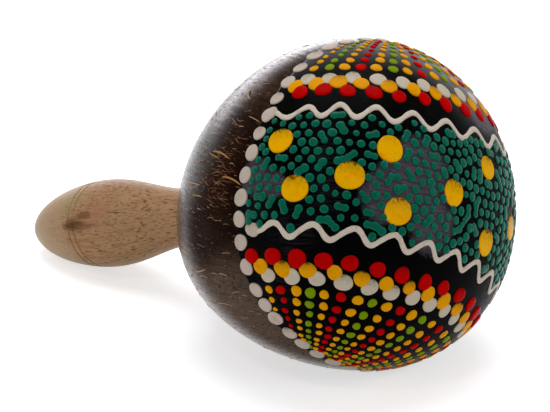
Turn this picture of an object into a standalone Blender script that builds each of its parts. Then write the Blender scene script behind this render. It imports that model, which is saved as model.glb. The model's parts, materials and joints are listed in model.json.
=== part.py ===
"""Coconut maraca: an emptied coconut on a turned wooden handle, with loose dry seeds inside.

The pieces are first modelled on the bench: the handle's axis is the X axis, the middle of the nut is
near the origin, the domed end of the nut points to +X and the handle to -X. A roll angle round that
axis starts at the side that the maraca lies on (-Z) and grows towards +Y. The whole thing is then laid
down on the plane z = 0, where the nut and the handle's belly both touch, centred on the origin.
"""

from math import cos, pi, radians, sin, sqrt

import bmesh
import bpy
import numpy as np

MM = 0.001

# The nut: an egg on the handle's axis, with three lobes that fade towards the dome
NUT_RADIUS = 50.27 * MM
NUT_STRETCH = 1.4 * MM            # both ends reach further, the girth is slimmer
NUT_POINT = 3.73 * MM             # the stem end reaches further, the dome is flatter
NUT_SQUARENESS = 0.18 * MM        # the corners between ends and girth are fuller
LOBE_COUNT = 3
LOBE_HEIGHT = 0.95 * MM
LOBE_FADE = 1.33                  # share by which the lobes grow from the girth to the stem end
LOBE_ROLL = radians(53.0)
SIDE_FLAT_DEPTH = 3.83 * MM       # the flatter side that the nut lies on
SIDE_FLAT_SPREAD = radians(23.4)
SIDE_FLAT_FROM_DOME = radians(109.5)
SIDE_FLAT_ROLL = radians(4.7)
NUT_OFF_AXIS = 1.8 * MM           # the hole is bored a little off the nut's middle
NUT_OFF_ROLL = radians(-19.5)
SHELL_WALL = 3.5 * MM

# The turned handle, from its shoulder against the nut to its butt
NECK_RADIUS = 9.3 * MM
NECK_STRAIGHT = 9.5 * MM
BELLY_RADIUS = 15.25 * MM
NECK_TO_BELLY = 41.6 * MM
BELLY_TO_TIP = 39.6 * MM
BUTT_ROUNDNESS = 1.84             # exponent of the butt's curve, 2 is an ellipse
BUTT_FACE_RADIUS = 2.5 * MM
SHOULDER_WIDTH = 1.3 * MM
TENON_LENGTH = 14.0 * MM
TENON_CHAMFER = 1.0 * MM
RING_FROM_BELLY = 2.85 * MM
RING_SPACING = 2.95 * MM
RING_COUNT = 2
RING_WIDTH = 0.9 * MM
RING_DEPTH = 0.35 * MM

# The bead of set glue in the corner between neck and nut
GLUE_WIDTH = 2.2 * MM
GLUE_HEIGHT = 2.0 * MM
GLUE_EDGE = 0.4 * MM

# The loose seeds
SEED_COUNT = 24
SEED_LENGTH = 6.4 * MM
SEED_WIDTH = 5.4 * MM
SEED_THICKNESS = 4.6 * MM
SEED_VARIATION = 0.10             # share by which one seed may be smaller than the largest
SEED_TILT = radians(20.0)
SEED_SPACING = 0.5 * MM
SEED_DRAW = 24                    # start of the random draw of the seeds' sizes and turns

# Clearances
FIT_GAP = 0.3 * MM                # between fixed pieces that touch
SEED_GAP = 0.4 * MM               # between a seed and the wall that it lies on

# Fineness of the faceted surfaces
NUT_SEGMENTS = 60
NUT_RINGS = 30
TURNED_SEGMENTS = 48
SWELL_STEPS = 9
BUTT_STEPS = 12
GLUE_STEPS = 6

# Golden spiral: how far apart its closest places are, as a share of its pitch
SPIRAL_CLOSEST = 1.54

# Steps in which a place is worked out by repetition
REACH_ROUNDS = 12
HALVINGS = 50


def clear_scene():
    for item in list(bpy.data.objects):
        bpy.data.objects.remove(item, do_unlink=True)


def make_material(name, colour, roughness):
    material = bpy.data.materials.new(name)
    material.use_nodes = True
    shader = material.node_tree.nodes["Principled BSDF"]
    shader.inputs["Base Color"].default_value = (*colour, 1.0)
    shader.inputs["Roughness"].default_value = roughness
    shader.inputs["Metallic"].default_value = 0.0
    material.diffuse_color = (*colour, 1.0)
    return material


def add_object(name, work, material, parent=None, sharp_angle=radians(40.0)):
    """Turn a bmesh into a smooth shaded object, with its sharp edges kept."""
    work.normal_update()
    bmesh.ops.recalc_face_normals(work, faces=work.faces)
    mesh = bpy.data.meshes.new(name)
    work.to_mesh(mesh)
    work.free()
    mesh.shade_smooth()
    mesh.set_sharp_from_angle(angle=sharp_angle)
    mesh.materials.append(material)
    item = bpy.data.objects.new(name, mesh)
    bpy.context.scene.collection.objects.link(item)
    item.parent = parent
    return item


def roll_direction(roll):
    """The sideways direction at a roll angle, as (y, z)."""
    return sin(roll), -cos(roll)


def nut_middle():
    y, z = roll_direction(NUT_OFF_ROLL)
    return np.array([0.0, y, z]) * NUT_OFF_AXIS


def nut_radius(directions):
    """Distance from the nut's middle to its outer surface, along unit directions.

    An egg, which is a sphere with three smooth terms in the cosine from the dome, plus a lobe term
    that is strongest on the stem half, less a rounded hollowing on the side that the nut lies on.
    """
    along = directions[:, 0]
    across = 1.0 - along**2
    roll = np.arctan2(directions[:, 1], -directions[:, 2])
    stretch = NUT_STRETCH * (3.0 * along**2 - 1.0) / 2.0
    point = -NUT_POINT * (5.0 * along**3 - 3.0 * along) / 2.0
    square = -NUT_SQUARENESS * (35.0 * along**4 - 30.0 * along**2 + 3.0) / 8.0
    growth = 1.0 - LOBE_FADE * along
    lobes = LOBE_HEIGHT * across * growth * np.cos(LOBE_COUNT * (roll - LOBE_ROLL))
    y, z = roll_direction(SIDE_FLAT_ROLL)
    off_axis = sin(SIDE_FLAT_FROM_DOME)
    flat_middle = np.array([cos(SIDE_FLAT_FROM_DOME), y * off_axis, z * off_axis])
    closeness = directions @ flat_middle - 1.0
    flat = -SIDE_FLAT_DEPTH * np.exp(closeness / SIDE_FLAT_SPREAD**2)
    return NUT_RADIUS + stretch + point + square + lobes + flat


def stem_reach(y, z):
    """How far towards -X the nut's outer surface lies at sideways places on its stem side."""
    middle = nut_middle()
    y = np.asarray(y, dtype=float) - middle[1]
    z = np.asarray(z, dtype=float) - middle[2]
    reach = np.full(y.shape, NUT_RADIUS)
    for _ in range(REACH_ROUNDS):
        points = np.stack([-reach, y, z], axis=-1)
        directions = points / np.linalg.norm(points, axis=-1, keepdims=True)
        reach = np.sqrt(nut_radius(directions)**2 - y**2 - z**2)
    return reach


def shoulder_place():
    """Where the handle's shoulder sits: clear of the nut all round the shoulder's ring."""
    turns = np.linspace(0.0, 2.0 * pi, TURNED_SEGMENTS, endpoint=False)
    inner = NECK_RADIUS - SHOULDER_WIDTH
    return stem_reach(inner * np.cos(turns), inner * np.sin(turns)).max() + FIT_GAP


def make_shell(material, parent):
    """The nut, as a sphere whose vertices are moved to the formula, thickened inwards and bored."""
    work = bmesh.new()
    bmesh.ops.create_uvsphere(work, u_segments=NUT_SEGMENTS, v_segments=NUT_RINGS, radius=1.0)
    directions = np.array([(v.co.z, v.co.x, v.co.y) for v in work.verts])
    directions /= np.linalg.norm(directions, axis=1, keepdims=True)
    points = nut_middle() + directions * nut_radius(directions)[:, None]
    for vertex, point in zip(work.verts, points):
        vertex.co = point
    shell = add_object("coconut_shell", work, material, parent)
    wall = shell.modifiers.new("wall", "SOLIDIFY")
    wall.thickness = SHELL_WALL
    wall.offset = -1.0
    wall.use_even_offset = True
    bore = shell.modifiers.new("handle hole", "BOOLEAN")
    bore.operation = "DIFFERENCE"
    bore.solver = "EXACT"
    bore.object = make_bore_cutter(parent)
    return shell, points


def make_bore_cutter(parent):
    """A drill the size of the tenon plus its clearance, from inside the nut to well outside."""
    radius = NECK_RADIUS - SHOULDER_WIDTH + FIT_GAP
    start = shoulder_place() - SHELL_WALL - radius
    end = shoulder_place() + radius
    work = turned([(0.0, start), (radius, start), (radius, end), (0.0, end)])
    cutter = add_object("handle_hole_cutter", work, make_material("cutter", (0.5, 0.5, 0.5), 0.5), parent)
    cutter.hide_render = True
    cutter.display_type = "WIRE"
    return cutter


def turned(profile):
    """Spin a profile of (radius, distance towards -X) points round the handle's axis."""
    work = bmesh.new()
    verts = [work.verts.new((-distance, 0.0, radius)) for radius, distance in profile]
    edges = [work.edges.new(pair) for pair in zip(verts, verts[1:])]
    bmesh.ops.spin(
        work, geom=verts + edges, cent=(0.0, 0.0, 0.0), axis=(1.0, 0.0, 0.0),
        angle=2.0 * pi, steps=TURNED_SEGMENTS, use_merge=True)
    bmesh.ops.remove_doubles(work, verts=work.verts, dist=0.001 * MM)
    return work


def handle_radius(distance, shoulder):
    """The handle's radius at a distance from the nut's middle.

    The neck runs straight, swells to the belly along half a cosine wave, and closes to the tip along
    a superellipse.
    """
    swell_start = shoulder + NECK_STRAIGHT
    belly = swell_start + NECK_TO_BELLY
    if distance <= swell_start:
        return NECK_RADIUS
    if distance <= belly:
        share = (distance - swell_start) / NECK_TO_BELLY
        return NECK_RADIUS + (BELLY_RADIUS - NECK_RADIUS) * (0.5 - 0.5 * cos(pi * share))
    share = min((distance - belly) / BELLY_TO_TIP, 1.0)
    return BELLY_RADIUS * (1.0 - share**BUTT_ROUNDNESS)**(1.0 / BUTT_ROUNDNESS)


def handle_profile(shoulder):
    """(radius, distance) points from the tenon's end to the flat face in the middle of the butt."""
    tenon = NECK_RADIUS - SHOULDER_WIDTH
    tenon_end = shoulder - TENON_LENGTH
    profile = [
        (0.0, tenon_end), (tenon - TENON_CHAMFER, tenon_end),
        (tenon, tenon_end + TENON_CHAMFER), (tenon, shoulder),
    ]
    swell_start = shoulder + NECK_STRAIGHT
    belly = swell_start + NECK_TO_BELLY
    face_share = (1.0 - (BUTT_FACE_RADIUS / BELLY_RADIUS)**BUTT_ROUNDNESS)**(1.0 / BUTT_ROUNDNESS)
    quarter_turn = np.linspace(0.0, 0.5 * pi, BUTT_STEPS + 1)[1:]
    stations = [shoulder]
    stations += list(np.linspace(swell_start, belly, SWELL_STEPS + 1))
    stations += list(belly + BELLY_TO_TIP * face_share * np.sin(quarter_turn))
    rings = [belly + RING_FROM_BELLY + k * RING_SPACING for k in range(RING_COUNT)]
    for ring in rings:
        stations = [s for s in stations if abs(s - ring) > RING_WIDTH]
        stations += [ring - RING_WIDTH / 2.0, ring, ring + RING_WIDTH / 2.0]
    for station in sorted(stations):
        depth = RING_DEPTH if station in rings else 0.0
        profile.append((handle_radius(station, shoulder) - depth, station))
    profile.append((0.0, profile[-1][1]))
    return profile


def make_handle(material, parent):
    work = turned(handle_profile(shoulder_place()))
    points = np.array([tuple(v.co) for v in work.verts])
    return add_object("handle", work, material, parent), points


def make_glue_bead(material, parent):
    """A ring whose section is a quarter of an ellipse, with its underside lying along the nut."""
    inner = NECK_RADIUS + FIT_GAP
    section = [(inner + GLUE_WIDTH, 0.0), (inner + GLUE_WIDTH / 2.0, 0.0), (inner, 0.0)]
    for k in range(GLUE_STEPS + 1):
        turn = 0.5 * pi * k / GLUE_STEPS
        lift = GLUE_EDGE + (GLUE_HEIGHT - GLUE_EDGE) * cos(turn)
        section.append((inner + GLUE_WIDTH * sin(turn), lift))
    radii = np.array([radius for radius, _ in section])
    lifts = np.array([lift for _, lift in section])
    turns = np.linspace(0.0, 2.0 * pi, TURNED_SEGMENTS, endpoint=False)
    work = bmesh.new()
    loops = []
    for turn in turns:
        y = radii * cos(turn)
        z = radii * sin(turn)
        x = -(stem_reach(y, z) + FIT_GAP + lifts)
        loops.append([work.verts.new(place) for place in zip(x, y, z)])
    for loop, following in zip(loops, loops[1:] + loops[:1]):
        for k in range(len(section)):
            after = (k + 1) % len(section)
            work.faces.new((loop[k], loop[after], following[after], following[k]))
    return add_object("glue_bead", work, material, parent)


def laid_down(points, tilt):
    """Bench points turned round Y so that the handle end sinks by the tilt angle."""
    x = points[:, 0] * cos(tilt) - points[:, 2] * sin(tilt)
    z = points[:, 0] * sin(tilt) + points[:, 2] * cos(tilt)
    return np.stack([x, points[:, 1], z], axis=1)


def resting_tilt(nut_points, handle_points):
    """The tilt at which the nut and the handle's belly reach equally low, found by halving."""
    low, high = 0.0, radians(60.0)
    for _ in range(HALVINGS):
        tilt = (low + high) / 2.0
        if laid_down(handle_points, tilt)[:, 2].min() > laid_down(nut_points, tilt)[:, 2].min():
            low = tilt
        else:
            high = tilt
    return tilt


class Hollow:
    """The room inside the nut as it lies on the floor, for laying the seeds in it."""

    def __init__(self, tilt, place):
        self.tilt = tilt
        self.place = place

    def room(self, points):
        """How far points are from the inner wall, measured outwards from the nut's middle."""
        bench = laid_down(points - self.place, -self.tilt) - nut_middle()
        distance = np.linalg.norm(bench, axis=1)
        return nut_radius(bench / distance[:, None]) - SHELL_WALL - distance

    def settle(self, points, step):
        """How far points can move straight along Z, in the sense of step, before they reach the wall."""
        near, far = 0.0, 2.0 * NUT_RADIUS
        for _ in range(HALVINGS):
            travel = (near + far) / 2.0
            if self.room(points + (0.0, 0.0, step * travel)).min() > SEED_GAP:
                near = travel
            else:
                far = travel
        return near


def seed_points(unit_points, chance):
    """A seed's vertices about its own middle: an ellipsoid, a little tilted and turned."""
    sizes = np.array([SEED_LENGTH, SEED_WIDTH, SEED_THICKNESS]) / 2.0
    sizes *= 1.0 - SEED_VARIATION * chance.random()
    points = unit_points * sizes
    lean = SEED_TILT * (2.0 * chance.random() - 1.0)
    points = laid_down(points, lean)
    turn = 2.0 * pi * chance.random()
    x = points[:, 0] * cos(turn) - points[:, 1] * sin(turn)
    y = points[:, 0] * sin(turn) + points[:, 1] * cos(turn)
    return np.stack([x, y, points[:, 2]], axis=1)


def make_seeds(material, hollow, middle):
    """Lay the seeds in one layer on the lowest part of the wall, spiralling out from the middle."""
    chance = np.random.default_rng(SEED_DRAW)
    golden_turn = pi * (3.0 - sqrt(5.0))
    pitch = (SEED_LENGTH + SEED_SPACING) / SPIRAL_CLOSEST
    travels = {}
    for index in range(SEED_COUNT):
        work = bmesh.new()
        bmesh.ops.create_icosphere(work, subdivisions=2, radius=1.0)
        unit_points = np.array([tuple(v.co) for v in work.verts])
        points = seed_points(unit_points, chance)
        reach = pitch * sqrt(index + 0.5)
        turn = golden_turn * index
        column = middle + np.array([reach * cos(turn), reach * sin(turn), 0.0])
        place = column - (0.0, 0.0, hollow.settle(points + column, -1.0))
        for vertex, point in zip(work.verts, points):
            vertex.co = point
        seed = add_object(f"seed_{index + 1:02d}", work, material)
        seed.location = place
        travels[seed.name] = hollow.settle(points + place, 1.0)
    return travels


def build():
    clear_scene()
    shell_brown = make_material("varnished coconut shell", (0.055, 0.030, 0.018), 0.35)
    pale_wood = make_material("pale turned wood", (0.42, 0.26, 0.14), 0.55)
    set_glue = make_material("set wood glue", (0.30, 0.19, 0.09), 0.45)
    seed_tan = make_material("dry seed", (0.25, 0.15, 0.07), 0.5)

    resting_place = bpy.data.objects.new("resting_place", None)
    bpy.context.scene.collection.objects.link(resting_place)

    shell, nut_points = make_shell(shell_brown, resting_place)
    handle, handle_points = make_handle(pale_wood, resting_place)
    make_glue_bead(set_glue, resting_place)

    tilt = resting_tilt(nut_points, handle_points)
    lying = laid_down(np.concatenate([nut_points, handle_points]), tilt)
    low, high = lying.min(axis=0), lying.max(axis=0)
    place = np.array([-(low[0] + high[0]) / 2.0, -(low[1] + high[1]) / 2.0, -low[2]])
    resting_place.location = place
    resting_place.rotation_euler = (0.0, -tilt, 0.0)

    nut_lying = laid_down(nut_middle()[None, :], tilt)[0] + place
    return make_seeds(seed_tan, Hollow(tilt, place), nut_lying)


build()
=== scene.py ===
"""Looks of the coconut maraca: varnished nut, black painted dome with raised dots, turned wooden handle."""

import json
from math import asin, cos, pi, radians, sin

import bpy
import numpy as np
from mathutils import Matrix, Vector


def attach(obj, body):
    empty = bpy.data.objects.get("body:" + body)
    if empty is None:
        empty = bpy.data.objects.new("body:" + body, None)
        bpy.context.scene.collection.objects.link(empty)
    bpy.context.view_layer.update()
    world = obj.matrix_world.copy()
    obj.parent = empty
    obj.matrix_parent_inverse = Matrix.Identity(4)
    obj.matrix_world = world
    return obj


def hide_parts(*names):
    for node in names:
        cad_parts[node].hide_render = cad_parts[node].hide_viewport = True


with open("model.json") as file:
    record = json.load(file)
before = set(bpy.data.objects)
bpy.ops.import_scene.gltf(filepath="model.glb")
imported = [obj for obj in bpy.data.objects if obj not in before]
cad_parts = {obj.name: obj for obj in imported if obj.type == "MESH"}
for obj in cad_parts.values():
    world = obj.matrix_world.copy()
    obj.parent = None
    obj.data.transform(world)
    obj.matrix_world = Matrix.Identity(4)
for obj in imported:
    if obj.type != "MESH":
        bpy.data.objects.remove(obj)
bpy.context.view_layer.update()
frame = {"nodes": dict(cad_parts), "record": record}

MM = 0.001
BODY = "maraca"

# The nut's form and the handle's turning, in the same real sizes as the solids
NUT_RADIUS = 50.27 * MM
NUT_STRETCH = 1.4 * MM
NUT_POINT = 3.73 * MM
NUT_SQUARENESS = 0.18 * MM
LOBE_COUNT = 3
LOBE_HEIGHT = 0.95 * MM
LOBE_FADE = 1.33
LOBE_ROLL = radians(53.0)
SIDE_FLAT_DEPTH = 3.83 * MM
SIDE_FLAT_SPREAD = radians(23.4)
SIDE_FLAT_FROM_DOME = radians(109.5)
SIDE_FLAT_ROLL = radians(4.7)
NUT_OFF_AXIS = 1.8 * MM
NUT_OFF_ROLL = radians(-19.5)
SHELL_WALL = 3.5 * MM
BORE_RADIUS = 8.3 * MM
NECK_RADIUS = 9.3 * MM
SWELL_START = 64.396 * MM
BELLY_RADIUS = 15.25 * MM
BELLY_PLACE = 105.996 * MM
BELLY_TO_TIP = 39.6 * MM
BUTT_ROUNDNESS = 1.84
BUTT_FACE_RADIUS = 2.5 * MM
SHOULDER_PLACE = 54.896 * MM
SHOULDER_WIDTH = 1.3 * MM
TENON_LENGTH = 14.0 * MM
RING_FROM_BELLY = 2.85 * MM
RING_SPACING = 2.95 * MM
RING_WIDTH = 0.9 * MM
RING_DEPTH = 0.35 * MM

# How the handle's axis lies: the butt's flat face is the frame's own mount
BUTT = frame["record"]["mounts"][0]
TO_BUTT = np.array(BUTT["axis"]) / np.linalg.norm(BUTT["axis"])
BUTT_DISTANCE = 144.817 * MM
BENCH_ORIGIN = np.array(BUTT["pos_m"]) - BUTT_DISTANCE * TO_BUTT
BENCH_X = -TO_BUTT
BENCH_Y = np.array([0.0, 1.0, 0.0])
BENCH_Z = np.cross(BENCH_X, BENCH_Y)

# The paint: its edge is a circle about an axis that leans from the handle's axis
RIM_LEAN = radians(14.54)
RIM_ROLL = radians(-94.05)
RIM_ANGLE = radians(69.5)
RIM_SQUARENESS = radians(1.5)
RIM_DOT_COUNT = 49
RIM_DOT_START = radians(-84.0)
RIM_DOT_RADIUS = 2.3 * MM
# Where the rim's dots stand apart or crowd: turn, how far they are drawn on, and over what spread
RIM_DRIFTS = ((radians(8.0), radians(2.4)), (radians(50.0), radians(-1.6)))
RIM_DRIFT_SPREAD = radians(14.0)
PAINT_OUTSIDE_DOTS = radians(1.2)
PAINT_THICKNESS = 0.12 * MM

# The ornament runs round an axis across the dome, like lines of latitude, and the band's middle line
# swings a little from one side to the other
BAND_AXIS_LEAN = radians(91.12)
BAND_AXIS_ROLL = radians(153.49)
BAND_MIDDLE = radians(-3.37)
BAND_SKEW = 0.179
BAND_CLOSING = 0.038

# What follows the band has a pace: its first turn, its step, how much each step grows, and the last
# step that grows, all in degrees
ROWS = (
    # colour, latitude above, pace above, latitude below, pace below, thickness of the paint
    ("ivory", 39.7, (-73.7, 7.5, 0.19, 9), -36.2, (-75.7, 9.5, 0.02, 10), 0.36 * MM),
    ("yellow", 37.0, (-70.0, 7.0, 0.30, 8), -33.3, (-78.4, 9.2, 0.05, 10), 0.46 * MM),
    ("red", 33.2, (-67.7, 7.7, 0.24, 9), -29.6, (-81.3, 8.7, 0.10, 11), 0.56 * MM),
)
ROW_DOT_RADIUS = 2.38 * MM
FANS = (
    # latitude of the first dots, pace, meeting point's lean and roll, size of the dots, colours in turn
    (45.85, (-65.4, 5.9, 0.06, 10), 73.7, 159.0, 1.0, ("yellow", "leaf", "yellow", "red")),
    (-41.8, (-76.6, 5.6, 0.06, 15), 85.1, -39.6, 0.93, ("yellow", "red", "yellow", "leaf")),
)
FAN_COLUMNS = 32
FAN_DOTS = 24
FAN_DOT_RADIUS = 1.6 * MM
FAN_LEAST_RADIUS = 0.78 * MM
FAN_STEP = radians(4.6)
FAN_LEAST_STEP = radians(2.5)
FAN_SHRINK = 0.92
FAN_END = radians(9.0)
# A wave swings about its latitude, with a pace from crest to crest. Its crests lean over, its steps are
# longer before the first crest, and its swing grows from a least share over its first steps, where it
# may sink from its latitude as well
WAVES = (
    {"name": "upper_wave", "latitude": 24.3, "swing": 2.4, "pace": (-63.3, 9.8, 0.62, 5), "lean": 0.12,
     "start": -1.08, "early": 2.9, "least": 0.62, "growing": 2.1, "sinking": 1.0},
    {"name": "lower_wave", "latitude": -19.5, "swing": 2.4, "pace": (-71.4, 13.27, 0.0, 1), "lean": 0.30,
     "start": -0.72, "early": 0.0, "least": 0.0, "growing": 0.6, "sinking": 0.0},
)
WAVE_STROKE = 0.72 * MM
DISCS = ((12.7, -70.9), (-5.0, -64.5), (0.6, -48.1), (11.6, -36.4), (-9.2, -31.8), (1.6, -10.9), (14.3, 7.3),
         (-10.1, 10.4), (-0.6, 30.0), (9.5, 45.0), (-10.5, 50.0), (2.0, 63.0), (-7.0, 77.0), (11.0, 78.0))
DISC_RADIUS = 3.95 * MM
BAND_DOT_RADIUS = 1.15 * MM
BAND_DOT_PITCH = 3.75
BAND_DOT_SPACING = radians(3.8)

# The fibrous place on the bare side, and the curled strands that the photograph shows round it: polar
# angle, roll, length in mm, lean from the grain, curl, and half thickness in mm
HUSK_POLAR = radians(95.0)
HUSK_ROLL = radians(-116.0)
DARK_POLAR = radians(104.0)
DARK_ROLL = radians(-114.0)
DARK_SIZE = 22.0 * MM
# Painted reflection of the bright floor on the lower side: polar angle, roll and half size of a lighter place
FLOOR_SHEEN_POLAR = radians(92.0)
FLOOR_SHEEN_ROLL = radians(-46.0)
FLOOR_SHEEN_SIZE = 28.0 * MM
GOLDEN_STRANDS = (
    (98.4, -123.2, 12.0, -22.0, 0.05, 0.28),
    (104.0, -124.0, 8.0, -24.0, -0.03, 0.20),
    (89.7, -112.9, 9.9, -20.0, 0.07, 0.27),
    (112.4, -109.8, 8.0, -9.0, 0.03, 0.20),
)
PALE_STRANDS = (
    (93.5, -145.9, 5.5, -58.0, -0.15, 0.32),
    (84.7, -133.8, 6.5, -27.0, 0.02, 0.12),
    (114.6, -81.5, 9.0, 12.0, -0.02, 0.18),
    (113.0, -79.5, 6.0, 4.0, 0.08, 0.13),
    (105.2, -69.8, 9.6, 6.0, 0.05, 0.13),
    (119.4, -115.8, 15.0, -12.0, 0.02, 0.15),
    (117.5, -114.0, 9.0, -2.0, -0.05, 0.12),
    (98.2, -81.9, 4.4, -7.0, 0.07, 0.13),
    (114.3, -123.9, 5.0, -2.0, 0.05, 0.14),
)

# Where lilac grey is mixed into the black paint as a painted reflection: lean and roll of the place, and its half size
PAINTED_SHEEN_PLACES = (
    (radians(26.0), radians(-122.0), 8.5 * MM),
    (radians(36.0), radians(-106.0), 6.5 * MM),
    (radians(22.0), radians(-80.0), 6.5 * MM),
    (radians(79.0), radians(-113.0), 4.2 * MM),
    (radians(72.0), radians(-110.0), 3.2 * MM),
    (radians(34.0), radians(139.0), 6.0 * MM),
)

# Stains in the handle: centre across, up and along its axis, half sizes, strength and colour
KNOTS = (
    ((-13.7 * MM, 6.8 * MM, -98.5 * MM), (4.5 * MM, 4.0 * MM, 5.5 * MM), 0.45, (0.32, 0.145, 0.075, 1.0)),
    ((-10.0 * MM, 11.0 * MM, -113.0 * MM), (5.0 * MM, 4.0 * MM, 6.0 * MM), 0.35, (0.31, 0.27, 0.125, 1.0)),
    ((-14.7 * MM, 3.2 * MM, -109.2 * MM), (1.6 * MM, 1.9 * MM, 4.8 * MM), 0.70, (0.130, 0.060, 0.020, 1.0)),
    ((-14.8 * MM, 3.0 * MM, -108.2 * MM), (0.9 * MM, 1.0 * MM, 3.8 * MM), 0.70, (0.070, 0.028, 0.008, 1.0)),
    ((-13.9 * MM, 6.0 * MM, -103.4 * MM), (1.3 * MM, 1.2 * MM, 3.0 * MM), 0.75, (0.150, 0.060, 0.026, 1.0)),
    ((-14.9 * MM, 2.4 * MM, -103.8 * MM), (1.1 * MM, 1.1 * MM, 3.8 * MM), 0.60, (0.160, 0.080, 0.034, 1.0)),
)

WORLD_LIGHT = 0.28
FLOOR_GLOW = 0.60
FLOOR_UNDERGLOW = 0.18


def spun(lean, roll):
    """Unit direction that leans from the dome's own direction, at a roll round the handle's axis."""
    return np.array([cos(lean), sin(lean) * sin(roll), -sin(lean) * cos(roll)])


def unit(vectors):
    return vectors / np.linalg.norm(vectors, axis=-1, keepdims=True)


RIM_AXIS = spun(RIM_LEAN, RIM_ROLL)
RIM_FRONT = unit(np.cross(RIM_AXIS, np.array([0.0, 0.0, 1.0])))
RIM_SIDE = np.cross(RIM_AXIS, RIM_FRONT)
BAND_AXIS = spun(BAND_AXIS_LEAN, BAND_AXIS_ROLL)
BAND_FRONT = unit(np.array([1.0, 0.0, 0.0]) - BAND_AXIS * BAND_AXIS[0])
BAND_SIDE = np.cross(BAND_AXIS, BAND_FRONT)
NUT_MIDDLE = np.array([0.0, sin(NUT_OFF_ROLL), -cos(NUT_OFF_ROLL)]) * NUT_OFF_AXIS


def laid(points):
    """Bench points, shape (..., 3), placed where the maraca lies."""
    turn = np.stack([BENCH_X, BENCH_Y, BENCH_Z])
    return points @ turn + BENCH_ORIGIN


def eased(value, low, high):
    """0 below low, 1 above high, and a smooth step between them."""
    share = np.clip((value - low) / (high - low), 0.0, 1.0)
    return share * share * (3.0 - 2.0 * share)


def nut_radius(directions):
    """Distance from the nut's middle to its surface, along unit directions of shape (..., 3).

    A sphere, plus terms in the cosine from the dome for stretch, point and squareness, plus three
    lobes that grow towards the stem, less a rounded flat on the side that the nut lies on.
    """
    along = directions[..., 0]
    across = 1.0 - along**2
    roll = np.arctan2(directions[..., 1], -directions[..., 2])
    stretch = NUT_STRETCH * (3.0 * along**2 - 1.0) / 2.0
    point = -NUT_POINT * (5.0 * along**3 - 3.0 * along) / 2.0
    square = -NUT_SQUARENESS * (35.0 * along**4 - 30.0 * along**2 + 3.0) / 8.0
    growth = 1.0 - LOBE_FADE * along
    lobes = LOBE_HEIGHT * across * growth * np.cos(LOBE_COUNT * (roll - LOBE_ROLL))
    closeness = directions @ spun(SIDE_FLAT_FROM_DOME, SIDE_FLAT_ROLL) - 1.0
    flat = -SIDE_FLAT_DEPTH * np.exp(closeness / SIDE_FLAT_SPREAD**2)
    return NUT_RADIUS + stretch + point + square + lobes + flat


def on_nut(directions, lift=0.0):
    """Points on the nut, in the frame, raised by lift along directions from the nut's middle."""
    reach = nut_radius(directions) + lift
    return laid(NUT_MIDDLE + directions * reach[..., None])


def from_angles(axis, front, side, height, turn):
    """Directions at a height angle above the plane of front and side, and a turn from front to side."""
    level = np.cos(height)
    return ((level * np.cos(turn))[..., None] * front + (level * np.sin(turn))[..., None] * side
            + np.sin(height)[..., None] * axis)


def add_piece(name, points, faces, material):
    """A smooth shaded piece of the maraca from points and faces."""
    mesh = bpy.data.meshes.new(name)
    mesh.from_pydata(points.reshape(-1, 3).tolist(), [], faces)
    mesh.shade_smooth()
    mesh.materials.append(material)
    item = bpy.data.objects.new(name, mesh)
    bpy.context.scene.collection.objects.link(item)
    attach(item, BODY)
    return item


def add_attribute(item, name, values):
    """Keep a vector for each vertex, which the piece's material reads by name."""
    layer = item.data.attributes.new(name, "FLOAT_VECTOR", "POINT")
    layer.data.foreach_set("vector", np.asarray(values, dtype=np.float32).ravel())


def tube_faces(rows, columns):
    """Quads of a grid of rows that close round on themselves, as vertex numbers."""
    row = np.arange(rows - 1)[:, None] * columns
    column = np.arange(columns)[None, :]
    after = (column + 1) % columns
    quads = np.stack([row + column, row + after, row + columns + after, row + columns + column], axis=-1)
    return quads.reshape(-1, 4)


def tube(name, rings, material, inward=False):
    """A closed surface from rings of points, shape (rows, columns, 3), whose first and last rings close
    on their own middles. Seen along its length, a ring runs clockwise, or anticlockwise if inward."""
    rows, columns, _ = rings.shape
    column = np.arange(columns)
    after = (column + 1) % columns
    base = (rows - 1) * columns
    start = np.stack([np.full(columns, rows * columns), after, column], axis=-1)
    end = np.stack([np.full(columns, rows * columns + 1), base + column, base + after], axis=-1)
    faces = tube_faces(rows, columns).tolist() + start.tolist() + end.tolist()
    if inward:
        faces = [face[::-1] for face in faces]
    points = np.concatenate([rings.reshape(-1, 3), rings[0].mean(0)[None], rings[-1].mean(0)[None]])
    return add_piece(name, points, faces, material)


# Wiring of node trees

FLOAT = "NodeSocketFloat"
COLOUR = "NodeSocketColor"
VECTOR = "NodeSocketVector"
MIX_FIRST = 6
MIX_SECOND = 7
MIX_RESULT = 2


def add_node(tree, kind, feeds, **settings):
    """A node with its settings, whose inputs are fed by sockets or hold plain values."""
    node = tree.nodes.new(kind)
    for name, value in settings.items():
        setattr(node, name, value)
    for name, value in feeds.items():
        if isinstance(value, bpy.types.NodeSocket):
            tree.links.new(value, node.inputs[name])
        else:
            node.inputs[name].default_value = value
    return node


def noise(tree, vector, scale, detail=4.0, roughness=0.5, distortion=0.0):
    feeds = {"Vector": vector, "Scale": scale, "Detail": detail, "Roughness": roughness, "Distortion": distortion}
    return add_node(tree, "ShaderNodeTexNoise", feeds).outputs["Fac"]


def stepped(tree, value, low, high, top=1.0):
    """A smooth step from 0 at low to top at high."""
    feeds = {"Value": value, "From Min": low, "From Max": high, "To Max": top}
    return add_node(tree, "ShaderNodeMapRange", feeds, interpolation_type="SMOOTHSTEP").outputs["Result"]


def reckon(tree, operation, first, second=0.0):
    return add_node(tree, "ShaderNodeMath", {0: first, 1: second}, operation=operation).outputs[0]


def blend_colours(tree, share, first, second):
    feeds = {0: share, MIX_FIRST: first, MIX_SECOND: second}
    return add_node(tree, "ShaderNodeMix", feeds, data_type="RGBA").outputs[MIX_RESULT]


def bumped(tree, height, distance, strength=1.0):
    feeds = {"Height": height, "Distance": distance, "Strength": strength}
    return add_node(tree, "ShaderNodeBump", feeds).outputs["Normal"]


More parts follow.
